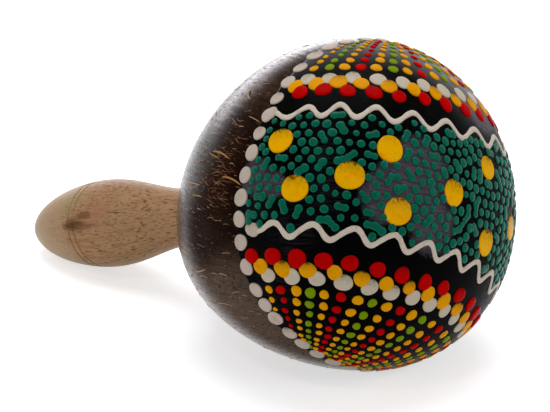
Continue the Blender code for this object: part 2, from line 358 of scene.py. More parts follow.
def tone(red, green, blue):
    """The colour that shows as this red, green and blue, each out of 255."""
    return tuple((channel / 255.0)**2.2 for channel in (red, green, blue)) + (1.0,)


def new_group(name, inputs, outputs):
    """An empty node group with named inputs and outputs."""
    tree = bpy.data.node_groups.new(name, "ShaderNodeTree")
    for label, kind in inputs:
        tree.interface.new_socket(label, in_out="INPUT", socket_type=kind)
    for label, kind in outputs:
        tree.interface.new_socket(label, in_out="OUTPUT", socket_type=kind)
    return tree, tree.nodes.new("NodeGroupInput").outputs, tree.nodes.new("NodeGroupOutput").inputs


def grain_group():
    """Streaks along the third part of a vector: a mask of those that stand out, and their height."""
    tree, given, out = new_group(
        "streaks along the grain",
        [("Vector", VECTOR), ("Fineness", FLOAT), ("Shortness", FLOAT), ("Threshold", FLOAT), ("Softness", FLOAT)],
        [("Mask", FLOAT), ("Height", FLOAT)])
    parts = add_node(tree, "ShaderNodeSeparateXYZ", {"Vector": given["Vector"]}).outputs
    drawn = add_node(tree, "ShaderNodeCombineXYZ", {
        "X": parts["X"], "Y": parts["Y"], "Z": reckon(tree, "MULTIPLY", parts["Z"], given["Shortness"])})
    field = noise(tree, drawn.outputs["Vector"], given["Fineness"], 4.0, 0.6, 0.25)
    edge = reckon(tree, "ADD", given["Threshold"], given["Softness"])
    tree.links.new(stepped(tree, field, given["Threshold"], edge), out["Mask"])
    tree.links.new(field, out["Height"])
    return tree


def cloud_group():
    """Two colours that drift into each other over the surface."""
    tree, given, out = new_group(
        "drifting tone",
        [("Vector", VECTOR), ("Scale", FLOAT), ("Main colour", COLOUR), ("Second colour", COLOUR), ("Share", FLOAT)],
        [("Color", COLOUR), ("Mask", FLOAT)])
    field = noise(tree, given["Vector"], given["Scale"], 5.0, 0.6)
    low = reckon(tree, "SUBTRACT", 0.72, reckon(tree, "MULTIPLY", given["Share"], 0.45))
    mask = stepped(tree, field, low, reckon(tree, "ADD", low, 0.22))
    tree.links.new(blend_colours(tree, mask, given["Main colour"], given["Second colour"]), out["Color"])
    tree.links.new(mask, out["Mask"])
    return tree


def finish_group():
    """Fine unevenness of a surface: how rough it is from place to place, and a height for its bumps."""
    tree, given, out = new_group(
        "uneven finish",
        [("Vector", VECTOR), ("Scale", FLOAT), ("Smooth", FLOAT), ("Rough", FLOAT)],
        [("Roughness", FLOAT), ("Height", FLOAT)])
    field = noise(tree, given["Vector"], given["Scale"], 4.0, 0.55)
    feeds = {"Value": field, "From Min": 0.3, "From Max": 0.7, "To Min": given["Smooth"], "To Max": given["Rough"]}
    tree.links.new(add_node(tree, "ShaderNodeMapRange", feeds).outputs["Result"], out["Roughness"])
    tree.links.new(field, out["Height"])
    return tree


def smudge_group():
    """Dirt at the top edge of a drop of paint, from its own place: across, up, and a number of its own."""
    tree, given, out = new_group(
        "smudged edge",
        [("Spot", VECTOR), ("Vector", VECTOR), ("Color", COLOUR), ("Smudge colour", COLOUR), ("Share", FLOAT)],
        [("Color", COLOUR)])
    parts = add_node(tree, "ShaderNodeSeparateXYZ", {"Vector": given["Spot"]}).outputs
    drawn = add_node(tree, "ShaderNodeCombineXYZ", {
        "X": reckon(tree, "MULTIPLY", parts["X"], 2.6), "Y": reckon(tree, "MULTIPLY", parts["Y"], 3.8),
        "Z": reckon(tree, "MULTIPLY", parts["Z"], 40.0)}).outputs["Vector"]
    field = reckon(tree, "ADD", noise(tree, drawn, 1.4, 3.0, 0.6), noise(tree, given["Vector"], 1100.0, 3.0, 0.6))
    edge = stepped(tree, reckon(tree, "ADD", parts["X"], field), 1.52, 1.92, 0.9)
    chosen = stepped(tree, parts["Z"], reckon(tree, "SUBTRACT", 1.0, given["Share"]),
                     reckon(tree, "SUBTRACT", 1.1, given["Share"]))
    tinted = stepped(tree, reckon(tree, "ADD", parts["X"], field), 0.7, 2.1, 0.45)
    mask = reckon(tree, "MULTIPLY", reckon(tree, "MAXIMUM", edge, tinted), chosen)
    tree.links.new(blend_colours(tree, mask, given["Color"], given["Smudge colour"]), out["Color"])
    return tree


GRAIN = grain_group()
CLOUD = cloud_group()
FINISH = finish_group()
SMUDGE = smudge_group()


def use_group(tree, group, feeds):
    """Place a shared effect in a material and give its outputs."""
    return add_node(tree, "ShaderNodeGroup", feeds, node_tree=group).outputs


# Materials

def new_material(name, specular, sheen=0.0):
    """A material whose shader has its own steady gloss values, and the tree that feeds the rest."""
    material = bpy.data.materials.new(name)
    material.use_nodes = True
    shader = material.node_tree.nodes["Principled BSDF"].inputs
    shader["Specular IOR Level"].default_value = specular
    shader["IOR"].default_value = 1.2
    shader["Sheen Weight"].default_value = sheen
    shader["Sheen Roughness"].default_value = 0.12
    shader["Sheen Tint"].default_value = tone(232, 222, 236)
    return material, material.node_tree, shader


def own_vector(tree, name):
    return add_node(tree, "ShaderNodeAttribute", {}, attribute_name=name).outputs["Vector"]


def object_vector(tree):
    return add_node(tree, "ShaderNodeTexCoord", {}).outputs["Object"]


def near_place(tree, vector, centre, size, raggedness):
    """1 within a blurred, ragged blot of the given half sizes round a centre, and 0 outside it."""
    away = add_node(tree, "ShaderNodeVectorMath", {0: vector, 1: centre}, operation="SUBTRACT").outputs["Vector"]
    scaled = add_node(tree, "ShaderNodeVectorMath", {0: away, 1: size}, operation="DIVIDE").outputs["Vector"]
    length = add_node(tree, "ShaderNodeVectorMath", {0: scaled}, operation="LENGTH").outputs["Value"]
    uneven = reckon(tree, "SUBTRACT", noise(tree, scaled, 2.6, 5.0, 0.7), 0.5)
    field = reckon(tree, "MULTIPLY", uneven, raggedness)
    return reckon(tree, "SUBTRACT", 1.0, stepped(tree, reckon(tree, "ADD", length, field), 0.85, 1.45))


def shell_material():
    """Dark brown nut shell under varnish: streaked along its length, scraped and pitted, with tan
    threads left in it and a reddish, fibrous place at one side. A lighter place below it is a painted
    reflection of the bright floor. The varnish shines where it is seen along the surface, except in the pits."""
    material, tree, shader = new_material("varnished coconut shell", 0.02)
    shader["Coat Roughness"].default_value = 0.22
    grain = own_vector(tree, "grain")
    place = object_vector(tree)
    broad = use_group(tree, GRAIN, {"Vector": grain, "Fineness": 20.0, "Shortness": 0.14, "Threshold": 0.43,
                                    "Softness": 0.24})
    lines = use_group(tree, GRAIN, {"Vector": grain, "Fineness": 60.0, "Shortness": 0.06, "Threshold": 0.46,
                                    "Softness": 0.14})
    threads = use_group(tree, GRAIN, {"Vector": grain, "Fineness": 85.0, "Shortness": 0.08, "Threshold": 0.55,
                                      "Softness": 0.10})
    flecks = use_group(tree, GRAIN, {"Vector": grain, "Fineness": 110.0, "Shortness": 0.18, "Threshold": 0.64,
                                     "Softness": 0.05})
    pits = use_group(tree, GRAIN, {"Vector": grain, "Fineness": 90.0, "Shortness": 0.36, "Threshold": 0.58,
                                   "Softness": 0.04})
    scratches = use_group(tree, GRAIN, {"Vector": grain, "Fineness": 75.0, "Shortness": 0.09, "Threshold": 0.44,
                                        "Softness": 0.12})
    patches = stepped(tree, noise(tree, place, 42.0, 3.0, 0.6), 0.42, 0.64)
    drift = use_group(tree, CLOUD, {"Vector": place, "Scale": 60.0, "Main colour": tone(57, 41, 29),
                                    "Second colour": tone(79, 61, 46), "Share": 0.5})
    angle = add_node(tree, "ShaderNodeSeparateXYZ", {"Vector": grain}).outputs["Z"]
    beyond_scar = stepped(tree, angle, 0.3 * STEM_SCAR, STEM_SCAR)
    broad_share = reckon(tree, "MULTIPLY", broad["Mask"], reckon(tree, "MULTIPLY", beyond_scar, 0.65))
    colour = blend_colours(tree, broad_share, drift["Color"], tone(94, 74, 57))
    dark_lines = reckon(tree, "MULTIPLY", lines["Mask"], reckon(tree, "MULTIPLY", beyond_scar, 0.36))
    colour = blend_colours(tree, dark_lines, colour, tone(26, 14, 8))
    patches = reckon(tree, "MULTIPLY", patches, beyond_scar)
    tan_share = reckon(tree, "MULTIPLY", threads["Mask"], reckon(tree, "MULTIPLY", patches, 0.45))
    colour = blend_colours(tree, tan_share, colour, tone(118, 84, 58))
    husk = near_place(tree, place, tuple(on_nut(spun(HUSK_POLAR, HUSK_ROLL))), (9.0 * MM, 11.0 * MM, 9.0 * MM), 0.9)
    reddish = reckon(tree, "MULTIPLY", husk, reckon(tree, "MAXIMUM", threads["Mask"], lines["Mask"]))
    colour = blend_colours(tree, reckon(tree, "MULTIPLY", reddish, 0.6), colour, tone(88, 42, 22))
    dark = near_place(tree, place, tuple(on_nut(spun(DARK_POLAR, DARK_ROLL))), (DARK_SIZE, DARK_SIZE, DARK_SIZE), 0.8)
    colour = blend_colours(tree, reckon(tree, "MULTIPLY", dark, 0.85), colour, tone(28, 14, 8))
    beyond = add_node(tree, "ShaderNodeSeparateXYZ", {"Vector": own_vector(tree, "beyond")}).outputs["X"]
    shade = reckon(tree, "SUBTRACT", 0.5, stepped(tree, beyond, 0.0, radians(11.0), 0.5))
    colour = blend_colours(tree, shade, colour, tone(20, 10, 6))
    # Painted reflection of the bright floor: the lower side is mixed towards a lighter grey brown
    pale = near_place(tree, place, tuple(on_nut(spun(FLOOR_SHEEN_POLAR, FLOOR_SHEEN_ROLL))), (FLOOR_SHEEN_SIZE, FLOOR_SHEEN_SIZE, FLOOR_SHEEN_SIZE), 0.5)
    colour = blend_colours(tree, reckon(tree, "MULTIPLY", pale, 0.6), colour, tone(96, 82, 72))
    colour = blend_colours(tree, reckon(tree, "MULTIPLY", pits["Mask"], 0.7), colour, tone(14, 8, 6))
    colour = blend_colours(tree, reckon(tree, "MULTIPLY", flecks["Mask"], 0.7), colour, tone(166, 132, 104))
    tree.links.new(colour, shader["Base Color"])
    finish = use_group(tree, FINISH, {"Vector": place, "Scale": 900.0, "Smooth": 0.18, "Rough": 0.36})
    tree.links.new(finish["Roughness"], shader["Roughness"])
    height = reckon(tree, "MULTIPLY", threads["Height"], beyond_scar)
    height = reckon(tree, "SUBTRACT", height, reckon(tree, "MULTIPLY", pits["Mask"], 0.9))
    height = reckon(tree, "ADD", height, reckon(tree, "MULTIPLY", finish["Height"], 0.15))
    tree.links.new(bumped(tree, height, 0.14 * MM, 0.7), shader["Normal"])
    facing = add_node(tree, "ShaderNodeLayerWeight", {"Blend": 0.5}).outputs["Facing"]
    upward = add_node(tree, "ShaderNodeSeparateXYZ", {"Vector": own_vector(tree, "upward")}).outputs["Z"]
    start = reckon(tree, "SUBTRACT", 0.625, stepped(tree, upward, 0.02, 0.32, 0.095))
    shine = stepped(tree, facing, start, 0.87, 0.96)
    dulled = reckon(tree, "MAXIMUM", reckon(tree, "MULTIPLY", pits["Mask"], 0.75),
                    reckon(tree, "MULTIPLY", scratches["Mask"], 0.2))
    tree.links.new(reckon(tree, "MULTIPLY", shine, reckon(tree, "SUBTRACT", 1.0, dulled)), shader["Coat Weight"])
    return material


def black_material():
    """Glossy black paint with brush marks, and lilac grey mixed in along them and in places as a painted
    reflection. Its gloss shows where it faces up and is seen along the surface."""
    material, tree, shader = new_material("black dome paint", 0.06)
    shader["Coat Roughness"].default_value = 0.25
    upward = add_node(tree, "ShaderNodeSeparateXYZ", {"Vector": own_vector(tree, "upward")}).outputs["Z"]
    facing = add_node(tree, "ShaderNodeLayerWeight", {"Blend": 0.5}).outputs["Facing"]
    shine = stepped(tree, facing, 0.42, 0.68, 0.8)
    tree.links.new(reckon(tree, "MULTIPLY", shine, stepped(tree, upward, 0.45, 0.85)), shader["Coat Weight"])
    place = object_vector(tree)
    brushed = use_group(tree, GRAIN, {"Vector": own_vector(tree, "brush"), "Fineness": 75.0, "Shortness": 0.10,
                                      "Threshold": 0.40, "Softness": 0.20})
    # Painted reflection: lilac grey mixed into the black along the brush marks and in the listed places
    sheen_grey = blend_colours(tree, brushed["Mask"], tone(60, 54, 60), tone(76, 70, 76))
    where = stepped(tree, noise(tree, place, 26.0, 3.0), 0.55, 0.74, 0.26)
    where = reckon(tree, "MULTIPLY", where, brushed["Mask"])
    for lean, roll, size in PAINTED_SHEEN_PLACES:
        centre = tuple(on_nut(spun(lean, roll)))
        where = reckon(tree, "MAXIMUM", where, near_place(tree, place, centre, (size, size, size), 1.2))
    tree.links.new(blend_colours(tree, where, tone(3, 3, 3), sheen_grey), shader["Base Color"])
    finish = use_group(tree, FINISH, {"Vector": place, "Scale": 520.0, "Smooth": 0.20, "Rough": 0.42})
    tree.links.new(finish["Roughness"], shader["Roughness"])
    height = reckon(tree, "ADD", finish["Height"], brushed["Height"])
    tree.links.new(bumped(tree, height, 0.10 * MM, 0.6), shader["Normal"])
    return material


def paint_material(name, colour, second, smudge, smudged, specular=0.08, highlight_tone=None, edge_shade_tone=None, shine=0.0):
    """Thick dot paint: its colour drifts a little, it is dusty in specks, and some drops are smudged at
    their upper edge. Where a highlight tone and an edge shade tone are given, drops wear a painted
    highlight in a ring and painted shade at their edges. Shine is how much of a gloss coat shows where
    a drop turns away."""
    material, tree, shader = new_material(name, specular)
    place = object_vector(tree)
    drift = use_group(tree, CLOUD, {"Vector": place, "Scale": 330.0, "Main colour": colour,
                                    "Second colour": second, "Share": 0.45})
    dirty = use_group(tree, SMUDGE, {"Spot": own_vector(tree, "spot"), "Vector": place, "Color": drift["Color"],
                                     "Smudge colour": smudge, "Share": smudged})
    specks = stepped(tree, noise(tree, place, 1500.0, 3.0, 0.7), 0.58, 0.70, 0.35)
    colour = blend_colours(tree, specks, dirty["Color"], smudge)
    # Painted highlight: a lighter ring in each drop; painted shade: a darker edge round it
    if highlight_tone is not None:
        parts = add_node(tree, "ShaderNodeSeparateXYZ", {"Vector": own_vector(tree, "spot")}).outputs
        out = reckon(tree, "ADD", reckon(tree, "POWER", parts["X"], 2.0), reckon(tree, "POWER", parts["Y"], 2.0))
        colour = blend_colours(tree, stepped(tree, out, 0.35, 0.70, 0.35), colour, highlight_tone)
        colour = blend_colours(tree, stepped(tree, out, 0.56, 1.0, 0.85), colour, edge_shade_tone)
    if shine > 0.0:
        facing = add_node(tree, "ShaderNodeLayerWeight", {"Blend": 0.5}).outputs["Facing"]
        tree.links.new(stepped(tree, facing, 0.15, 0.60, shine), shader["Coat Weight"])
        shader["Coat Roughness"].default_value = 0.12
    tree.links.new(colour, shader["Base Color"])
    finish = use_group(tree, FINISH, {"Vector": place, "Scale": 800.0, "Smooth": 0.14, "Rough": 0.34})
    tree.links.new(finish["Roughness"], shader["Roughness"])
    tree.links.new(bumped(tree, finish["Height"], 0.08 * MM, 0.6), shader["Normal"])
    return material


def wood_material():
    """Pale turned wood: long grain, short brown pores that crowd towards the neck, two brown knots, a
    reddish place, and dark lines in the two rings."""
    material, tree, shader = new_material("pale turned wood", 0.12)
    shader["Coat Roughness"].default_value = 0.4
    facing = add_node(tree, "ShaderNodeLayerWeight", {"Blend": 0.5}).outputs["Facing"]
    tree.links.new(stepped(tree, facing, 0.42, 0.90, 0.5), shader["Coat Weight"])
    grain = own_vector(tree, "grain")
    lines = use_group(tree, GRAIN, {"Vector": grain, "Fineness": 700.0, "Shortness": 0.03, "Threshold": 0.42,
                                    "Softness": 0.25})
    pores = use_group(tree, GRAIN, {"Vector": grain, "Fineness": 2000.0, "Shortness": 0.17, "Threshold": 0.525,
                                    "Softness": 0.08})
    drift = use_group(tree, CLOUD, {"Vector": grain, "Scale": 75.0, "Main colour": tone(160, 126, 93),
                                    "Second colour": tone(150, 126, 88), "Share": 0.5})
    colour = blend_colours(tree, reckon(tree, "MULTIPLY", lines["Mask"], 0.5), drift["Color"], tone(138, 100, 68))
    along = add_node(tree, "ShaderNodeSeparateXYZ", {"Vector": grain}).outputs["Z"]
    crowd = stepped(tree, along, -BELLY_PLACE - 22.0 * MM, -BELLY_PLACE + 4.0 * MM)
    tip = reckon(tree, "SUBTRACT", 0.5, stepped(tree, along, -BELLY_PLACE - 14.0 * MM, -BELLY_PLACE - 4.0 * MM, 0.5))
    colour = blend_colours(tree, tip, colour, tone(163, 142, 114))
    groups = reckon(tree, "ADD", 0.6, stepped(tree, noise(tree, grain, 170.0, 2.0), 0.40, 0.60, 0.4))
    pore_share = reckon(tree, "ADD", reckon(tree, "MULTIPLY", crowd, 0.75), 0.15)
    pore_share = reckon(tree, "MULTIPLY", reckon(tree, "MULTIPLY", pores["Mask"], groups), pore_share)
    colour = blend_colours(tree, pore_share, colour, tone(104, 68, 40))
    for centre, size, share, stain in KNOTS:
        blot = near_place(tree, grain, centre, size, 2.6)
        colour = blend_colours(tree, reckon(tree, "MULTIPLY", blot, share), colour, stain)
    nearest = 1.0
    for k in range(2):
        ring = BELLY_PLACE + RING_FROM_BELLY + k * RING_SPACING
        apart = reckon(tree, "ABSOLUTE", reckon(tree, "ADD", along, ring))
        nearest = reckon(tree, "MINIMUM", apart, nearest)
    groove = reckon(tree, "SUBTRACT", 0.4, stepped(tree, nearest, 0.05 * RING_WIDTH, 0.45 * RING_WIDTH, 0.4))
    colour = blend_colours(tree, groove, colour, tone(112, 82, 52))
    tree.links.new(colour, shader["Base Color"])
    finish = use_group(tree, FINISH, {"Vector": grain, "Scale": 900.0, "Smooth": 0.42, "Rough": 0.60})
    tree.links.new(finish["Roughness"], shader["Roughness"])
    dents = reckon(tree, "SUBTRACT", lines["Height"], reckon(tree, "MULTIPLY", pores["Mask"], 0.5))
    tree.links.new(bumped(tree, dents, 0.15 * MM, 0.6), shader["Normal"])
    return material


def plain_stuff(name, colour, second, scale, smooth, rough):
    """A natural stuff whose colour drifts between two tones."""
    material, tree, shader = new_material(name, 0.15)
    place = object_vector(tree)
    drift = use_group(tree, CLOUD, {"Vector": place, "Scale": scale, "Main colour": colour, "Second colour": second,
                                    "Share": 0.5})
    tree.links.new(drift["Color"], shader["Base Color"])
    finish = use_group(tree, FINISH, {"Vector": place, "Scale": 2.0 * scale, "Smooth": smooth, "Rough": rough})
    tree.links.new(finish["Roughness"], shader["Roughness"])
    tree.links.new(bumped(tree, finish["Height"], 0.12 * MM, 0.6), shader["Normal"])
    return material


# Shell, paint and handle

SHELL_TURNS = 420
SHELL_ROWS = 200
GRAIN_POLE = spun(radians(150.0), radians(105.0))
RIDGE_HEIGHT = 0.020 * MM
RIDGE_COUNT = 22
STEM_SCAR = radians(20.0)
GRAIN_SWAY = radians(1.5)


def paint_edge(turn):
    """Angle from the rim's axis to the paint's edge, at a turn from the rim's front: nearly a circle."""
    return RIM_ANGLE + RIM_SQUARENESS * np.cos(4.0 * turn) + PAINT_OUTSIDE_DOTS


def outside_paint(directions):
    """How far directions lie outside the paint's edge, as an angle: less than 0 is under the paint."""
    turn = np.arctan2(directions @ RIM_SIDE, directions @ RIM_FRONT)
    return np.arccos(np.clip(directions @ RIM_AXIS, -1.0, 1.0)) - paint_edge(turn)


def stem_reach(y, z):
    """How far towards the butt the nut's surface lies at sideways places, by repeated correction."""
    y = y - NUT_MIDDLE[1]
    z = z - NUT_MIDDLE[2]
    reach = np.full(y.shape, NUT_RADIUS)
    for _ in range(12):
        directions = unit(np.stack([-reach, y, z], axis=-1))
        reach = np.sqrt(nut_radius(directions)**2 - y**2 - z**2)
    return reach


def shell_directions(shares, turns):
    """Directions from the nut's middle: share 0 is the dome's pole and share 1 the edge of the bore."""
    y = BORE_RADIUS * np.sin(turns)
    z = -BORE_RADIUS * np.cos(turns)
    edge = unit(np.stack([-stem_reach(y, z), y - NUT_MIDDLE[1], z - NUT_MIDDLE[2]], axis=-1))
    edge_angle = np.arccos(edge[:, 0])
    edge_roll = np.arctan2(edge[:, 1], -edge[:, 2])
    drift = (edge_roll - turns + pi) % (2.0 * pi) - pi
    angle = shares[:, None] * edge_angle[None, :]
    roll = turns[None, :] + drift[None, :] * shares[:, None]**2
    return np.stack([np.cos(angle), np.sin(angle) * np.sin(roll), -np.sin(angle) * np.cos(roll)], axis=-1)


def across_grain(directions):
    """Places across the pole that the nut's grain runs to, which leans from the handle's axis."""
    first = unit(np.cross(GRAIN_POLE, np.array([0.0, 0.0, 1.0])))
    return directions @ first, directions @ np.cross(GRAIN_POLE, first)


def husk_ridges(directions):
    """Height of the low ridges that the husk left on the bare half: a sum of seeded ripples, short
    across the grain and long along it, which fades out at the paint and at the bore."""
    chance = np.random.default_rng(3)
    roll = np.arctan2(*across_grain(directions))
    angle = np.arccos(np.clip(directions @ GRAIN_POLE, -1.0, 1.0))
    polar = np.arccos(np.clip(directions[..., 0], -1.0, 1.0))
    height = np.zeros(roll.shape)
    for _ in range(RIDGE_COUNT):
        across = chance.integers(70, 180)
        height += np.sin(across * roll + chance.uniform(-9.0, 9.0) * polar + chance.uniform(0.0, 2.0 * pi))
    bare = eased(outside_paint(directions), 0.0, radians(5.0)) * eased(pi - polar, radians(12.0), radians(20.0))
    bare = bare * eased(angle, 0.5 * STEM_SCAR, 1.5 * STEM_SCAR)
    return RIDGE_HEIGHT * height / np.sqrt(RIDGE_COUNT / 2.0) * bare


def make_shell(material):
    """The emptied nut: an outer skin from the dome to the bore, the bore, and an inner skin back."""
    turns = np.linspace(0.0, 2.0 * pi, SHELL_TURNS, endpoint=False)
    outer = shell_directions(np.linspace(0.004, 1.0, SHELL_ROWS), turns)
    inner = shell_directions(np.linspace(1.0, 0.02, 24), turns)
    rings = np.concatenate([on_nut(outer, husk_ridges(outer)), on_nut(inner, -SHELL_WALL)])
    shell = tube("varnished_shell", rings, material, inward=True)
    directions = np.concatenate([outer, inner]).reshape(-1, 3)
    directions = np.concatenate([directions, outer[0].mean(0)[None], inner[-1].mean(0)[None]])
    angle = np.arccos(np.clip(directions @ GRAIN_POLE, -1.0, 1.0))
    first, second = across_grain(directions)
    turn = np.arctan2(second, first)
    near_stem = 1.0 - eased(angle, radians(25.0), radians(65.0))
    turn = turn + GRAIN_SWAY * near_stem * np.sin(5.0 * angle + 2.0 * turn)
    add_attribute(shell, "grain", np.stack([np.cos(turn), np.sin(turn), angle], axis=-1))
    add_attribute(shell, "beyond", np.repeat(outside_paint(directions)[:, None], 3, axis=1))
    add_attribute(shell, "upward", directions @ np.stack([BENCH_X, BENCH_Y, BENCH_Z]))
    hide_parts("coconut_shell")
    return shell


def make_black_paint(material):
    """A skin of paint over the dome, up to its edge, where it thins and turns under to close."""
    turns = np.linspace(0.0, 2.0 * pi, 420, endpoint=False)
    ripple = radians(0.30) * np.sin(17.0 * turns) + radians(0.22) * np.sin(41.0 * turns + 1.0)
    shares = np.concatenate([np.linspace(0.004, 1.0, 150), [1.003, 1.005, 1.002], np.linspace(0.98, 0.01, 12)])
    lifts = np.concatenate([np.full(150, PAINT_THICKNESS), [0.08 * MM, 0.02 * MM, -0.08 * MM],
                            np.full(12, -0.12 * MM)])
    height = pi / 2.0 - shares[:, None] * (paint_edge(turns) + ripple)[None, :]
    turn = np.broadcast_to(turns, height.shape)
    directions = from_angles(RIM_AXIS, RIM_FRONT, RIM_SIDE, height, turn)
    paint = tube("black_paint", on_nut(directions, lifts[:, None]), material, inward=True)
    directions = np.concatenate([directions.reshape(-1, 3), directions[0].mean(0)[None], directions[-1].mean(0)[None]])
    along = np.arctan2(directions @ BAND_SIDE, directions @ BAND_FRONT)
    add_attribute(paint, "brush", np.stack([directions @ BAND_AXIS, np.zeros(len(along)), along], axis=-1))
    add_attribute(paint, "upward", directions @ np.stack([BENCH_X, BENCH_Y, BENCH_Z]))
    return paint


def handle_radius(distance):
    """Neck, then half a cosine wave out to the belly, then a superellipse to the tip, less the rings."""
    share = np.clip((distance - SWELL_START) / (BELLY_PLACE - SWELL_START), 0.0, 1.0)
    swell = NECK_RADIUS + (BELLY_RADIUS - NECK_RADIUS) * (0.5 - 0.5 * np.cos(pi * share))
    share = np.clip((distance - BELLY_PLACE) / BELLY_TO_TIP, 0.0, 1.0)
    butt = BELLY_RADIUS * (1.0 - share**BUTT_ROUNDNESS)**(1.0 / BUTT_ROUNDNESS)
    radius = np.where(distance < BELLY_PLACE, swell, butt)
    for k in range(2):
        ring = BELLY_PLACE + RING_FROM_BELLY + k * RING_SPACING
        groove = np.clip(1.0 - np.abs(distance - ring) / (RING_WIDTH / 2.0), 0.0, 1.0)
        radius = radius - RING_DEPTH * groove**0.7
    return radius


def make_handle(material):
    """The turned handle: tenon, shoulder, neck, belly, two incised rings and rounded butt."""
    end = SHOULDER_PLACE - TENON_LENGTH
    tenon = NECK_RADIUS - SHOULDER_WIDTH
    rows = [(tenon - 1.0 * MM, end), (tenon, end + 1.0 * MM), (tenon, SHOULDER_PLACE - 0.05 * MM),
            (tenon, SHOULDER_PLACE), (NECK_RADIUS - 0.15 * MM, SHOULDER_PLACE),
            (NECK_RADIUS, SHOULDER_PLACE + 0.15 * MM)]
    neck = np.linspace(SHOULDER_PLACE + 1.0 * MM, BELLY_PLACE + 1.4 * MM, 90)
    ringed = np.linspace(BELLY_PLACE + 1.5 * MM, BELLY_PLACE + 8.0 * MM, 90)
    turn = np.linspace(asin(8.1 * MM / BELLY_TO_TIP), pi / 2.0, 70)
    butt = BELLY_PLACE + (BUTT_DISTANCE - BELLY_PLACE) * np.sin(turn)
    along = np.unique(np.concatenate([neck, ringed, butt]))
    radii = np.concatenate([[r for r, _ in rows], handle_radius(along)])
    places = np.concatenate([[d for _, d in rows], along])
    turns = np.linspace(0.0, 2.0 * pi, 144, endpoint=False)
    points = np.stack([
        np.broadcast_to(-places[:, None], (len(places), len(turns))),
        radii[:, None] * np.sin(turns)[None, :],
        -radii[:, None] * np.cos(turns)[None, :]], axis=-1)
    handle = tube("turned_handle", laid(points), material, inward=True)
    bench = np.concatenate([points.reshape(-1, 3), points[0].mean(0)[None], points[-1].mean(0)[None]])
    add_attribute(handle, "grain", bench[:, [1, 2, 0]])
    handle.data.set_sharp_from_angle(angle=radians(50.0))
    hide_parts("handle")
    return handle


# Ornament

def paced(pace, steps):
    """Turns in radians after a number of steps: each step is longer than the one before it by the
    same amount, up to the last step that grows, and then the steps stay as long as that one."""
    start, step, growth, last = pace
    grown = np.clip(steps, 0.0, last)
    return np.radians(start + step * steps + growth * grown * (2.0 * steps - grown))


def band_place(height, turn):
    """Directions at a latitude counted from the band's middle line, and a turn from its front. Latitudes
    spread a little from one side of the band to the other."""
    spread = 1.0 + BAND_SKEW * np.sin(turn) + BAND_CLOSING * (1.0 - np.cos(turn))
    return from_angles(BAND_AXIS, BAND_FRONT, BAND_SIDE, height * spread + BAND_MIDDLE, turn)


def inside_paint(directions, margin):
    """Which directions lie within the paint's edge by at least a margin angle."""
    return outside_paint(directions) < -margin


def make_drops(name, centres, sizes, material, height, sides=12, rings=2, along=None, waver=0.05, seed=1,
               clean=False, lip=0.0, flatness=4.0):
    """Raised drops of paint: low domes with round edges, as one mesh.

    centres are (n, 3) directions and sizes their radii. A drop is a stack of rings whose lift falls as
    the square root of one less the share of its radius to the power of its flatness, and it is closed
    underneath. A lip lowers its middle, so that it stands up round its edge as dried paint does. Its
    outline wavers by a seeded two-fold and three-fold wave. A drop keeps its own place (up, across) and
    a number of its own, which is 0 where it is clean.
    """
    count = len(centres)
    chance = np.random.default_rng(seed)
    guide = BAND_AXIS if along is None else along
    first = unit(guide - centres * (centres @ guide)[:, None])
    second = np.cross(centres, first)
    turns = np.linspace(0.0, 2.0 * pi, sides, endpoint=False)
    phase = chance.uniform(0.0, 2.0 * pi, (2, count, 1))
    outline = 1.0 + waver * np.cos(2.0 * turns - phase[0]) + 0.6 * waver * np.cos(3.0 * turns - phase[1])
    shares = np.concatenate([np.linspace(0.0, 1.0, rings + 1)[1:-1], [0.93, 1.0]])
    lifts = np.sqrt(1.0 - shares**flatness) - lip * (1.0 - eased(shares, 0.55, 0.85))
    lifts[-1] = -0.12
    up = shares[None, :, None] * (outline * np.cos(turns))[:, None, :]
    across = shares[None, :, None] * (outline * np.sin(turns))[:, None, :]
    reach = (sizes / NUT_RADIUS)[:, None, None]
    directions = unit(centres[:, None, None, :] + (reach * up)[..., None] * first[:, None, None, :]
                      + (reach * across)[..., None] * second[:, None, None, :])
    ringed = on_nut(directions, PAINT_THICKNESS + height * lifts[None, :, None])
    top = on_nut(centres, PAINT_THICKNESS + height * (1.0 - lip))
    under = on_nut(centres, PAINT_THICKNESS - 0.12 * height)
    rows = len(shares)
    per_drop = rows * sides + 2
    points = np.concatenate([ringed.reshape(count, -1, 3), top[:, None], under[:, None]], axis=1)
    quads = tube_faces(rows, sides)[:, ::-1]
    column = np.arange(sides)
    after = (column + 1) % sides
    base = (rows - 1) * sides
    cap = np.stack([np.full(sides, rows * sides), column, after], axis=-1)
    foot = np.stack([np.full(sides, rows * sides + 1), base + after, base + column], axis=-1)
    offsets = (np.arange(count) * per_drop)[:, None, None]
    faces = ((quads[None] + offsets).reshape(-1, 4).tolist() + (cap[None] + offsets).reshape(-1, 3).tolist()
             + (foot[None] + offsets).reshape(-1, 3).tolist())
    drops = add_piece(name, points, faces, material)
    own = np.broadcast_to(chance.random(count)[:, None, None] * (0.0 if clean else 1.0), up.shape)
    spots = np.stack([up, across, own], axis=-1).reshape(count, -1, 3)
    middles = np.stack([np.zeros(count), np.zeros(count), own[:, 0, 0]], axis=-1)[:, None]
    add_attribute(drops, "spot", np.concatenate([spots, middles, middles], axis=1))
    return drops


